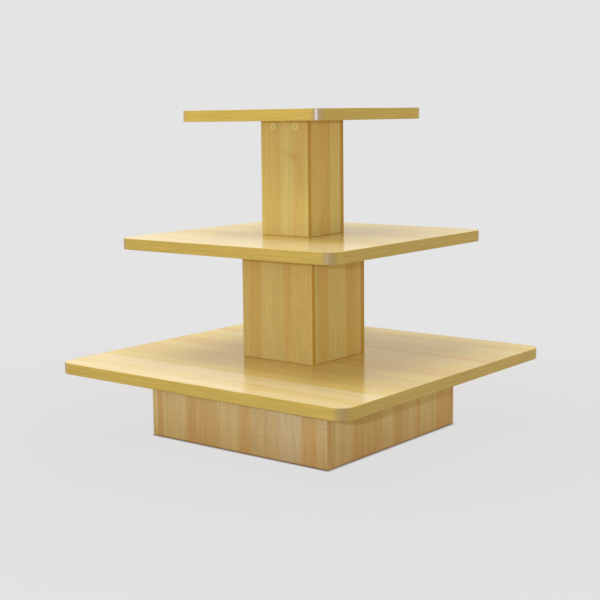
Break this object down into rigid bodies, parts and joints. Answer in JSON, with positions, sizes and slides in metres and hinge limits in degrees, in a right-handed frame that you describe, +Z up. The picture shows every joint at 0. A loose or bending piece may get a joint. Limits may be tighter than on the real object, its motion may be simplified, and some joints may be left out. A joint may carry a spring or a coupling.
{
  "type": "tiered display table",
  "caption": "Tiered display table: square wood-grain shelves, smaller going up, on box columns over a hollow plinth with hidden levelling feet.",
  "frame": {"origin": "centre of the table's footprint, on the floor under the foot pads", "axes": "+Z up; +X to the right and +Y to the back, square to the shelf edges; the front, at -Y, is the left-hand face in the picture"},
  "size_m": [1.2192, 1.2192, 1.1335],
  "materials": {
    "shelf_laminate": "glossy wood-grain decorative laminate",
    "backing_laminate": "matt wood-grain backing laminate",
    "shelf_edge_band": "satin wood-grain PVC edge band",
    "column_board": "satin wood-grain faced board",
    "panel_edge_strip": "satin wood-grain edge strip",
    "particle_board": "raw pressed particle board",
    "softwood": "planed softwood",
    "beech_dowel": "fluted beech",
    "die_cast_zinc": "die-cast zinc",
    "zinc_plated_steel": "bright zinc-plated steel",
    "brass": "turned brass",
    "cap_plastic": "satin moulded plastic",
    "nylon_pad": "moulded nylon"
  },
  "bodies": {
    "table": {"bottom_shelf_backer": "backing_laminate", "bottom_shelf_core": "particle_board", "bottom_shelf_edge_band": "shelf_edge_band", "bottom_shelf_laminate": "shelf_laminate", "foot_inserts": "zinc_plated_steel", "lower_column_back_panel": "column_board", "lower_column_bolt_inserts": "brass", "lower_column_bolt_washers": "zinc_plated_steel", "lower_column_bolts": "zinc_plated_steel", "lower_column_bottom_plate": "particle_board", "lower_column_cam_bolts": "zinc_plated_steel", "lower_column_cams": "die_cast_zinc", "lower_column_corner_battens": "softwood", "lower_column_cover_caps": "cap_plastic", "lower_column_dowels": "beech_dowel", "lower_column_edge_strips": "panel_edge_strip", "lower_column_front_panel": "column_board", "lower_column_left_panel": "column_board", "lower_column_right_panel": "column_board", "middle_shelf_backer": "backing_laminate", "middle_shelf_core": "particle_board", "middle_shelf_edge_band": "shelf_edge_band", "middle_shelf_laminate": "shelf_laminate", "plinth_back_panel": "column_board", "plinth_brace_front_to_back": "softwood", "plinth_brace_side_to_side": "softwood", "plinth_cleat_screws": "zinc_plated_steel", "plinth_cleats": "softwood", "plinth_corner_posts": "softwood", "plinth_edge_strips": "panel_edge_strip", "plinth_front_panel": "column_board", "plinth_left_panel": "column_board", "plinth_right_panel": "column_board", "top_shelf_backer": "backing_laminate", "top_shelf_core": "particle_board", "top_shelf_edge_band": "shelf_edge_band", "top_shelf_laminate": "shelf_laminate", "upper_column_back_panel": "column_board", "upper_column_bolt_inserts": "brass", "upper_column_bolt_washers": "zinc_plated_steel", "upper_column_bolts": "zinc_plated_steel", "upper_column_bottom_plate": "particle_board", "upper_column_cam_bolts": "zinc_plated_steel", "upper_column_cams": "die_cast_zinc", "upper_column_corner_battens": "softwood", "upper_column_cover_caps": "cap_plastic", "upper_column_dowels": "beech_dowel", "upper_column_edge_strips": "panel_edge_strip", "upper_column_front_panel": "column_board", "upper_column_left_panel": "column_board", "upper_column_right_panel": "column_board"},
    "front_left_pad": {"front_left_foot_pad": "nylon_pad"},
    "front_left_stem": {"front_left_foot_stem": "zinc_plated_steel"},
    "front_right_pad": {"front_right_foot_pad": "nylon_pad"},
    "front_right_stem": {"front_right_foot_stem": "zinc_plated_steel"},
    "back_right_pad": {"back_right_foot_pad": "nylon_pad"},
    "back_right_stem": {"back_right_foot_stem": "zinc_plated_steel"},
    "back_left_pad": {"back_left_foot_pad": "nylon_pad"},
    "back_left_stem": {"back_left_foot_stem": "zinc_plated_steel"}
  },
  "joints": [
    {"name": "front_left_foot_height", "type": "slide", "parent": "table", "child": "front_left_pad", "axis": [0, 0, -1], "range_m": [0, 0.015]},
    {"name": "front_left_foot_screw", "type": "hinge", "parent": "front_left_pad", "child": "front_left_stem", "pos_m": [-0.33655, -0.33655, 0], "axis": [0, 0, -1], "range_deg": [0, 3060]},
    {"name": "front_right_foot_height", "type": "slide", "parent": "table", "child": "front_right_pad", "axis": [0, 0, -1], "range_m": [0, 0.015]},
    {"name": "front_right_foot_screw", "type": "hinge", "parent": "front_right_pad", "child": "front_right_stem", "pos_m": [0.33655, -0.33655, 0], "axis": [0, 0, -1], "range_deg": [0, 3060]},
    {"name": "back_right_foot_height", "type": "slide", "parent": "table", "child": "back_right_pad", "axis": [0, 0, -1], "range_m": [0, 0.015]},
    {"name": "back_right_foot_screw", "type": "hinge", "parent": "back_right_pad", "child": "back_right_stem", "pos_m": [0.33655, 0.33655, 0], "axis": [0, 0, -1], "range_deg": [0, 3060]},
    {"name": "back_left_foot_height", "type": "slide", "parent": "table", "child": "back_left_pad", "axis": [0, 0, -1], "range_m": [0, 0.015]},
    {"name": "back_left_foot_screw", "type": "hinge", "parent": "back_left_pad", "child": "back_left_stem", "pos_m": [-0.33655, 0.33655, 0], "axis": [0, 0, -1], "range_deg": [0, 3060]}
  ],
  "couplings": [
    {"joint": "front_left_foot_height", "follows": "front_left_foot_screw", "m_per_rad": 0.00022459},
    {"joint": "front_right_foot_height", "follows": "front_right_foot_screw", "m_per_rad": 0.00022459},
    {"joint": "back_right_foot_height", "follows": "back_right_foot_screw", "m_per_rad": 0.00022459},
    {"joint": "back_left_foot_height", "follows": "back_left_foot_screw", "m_per_rad": 0.00022459}
  ]
}
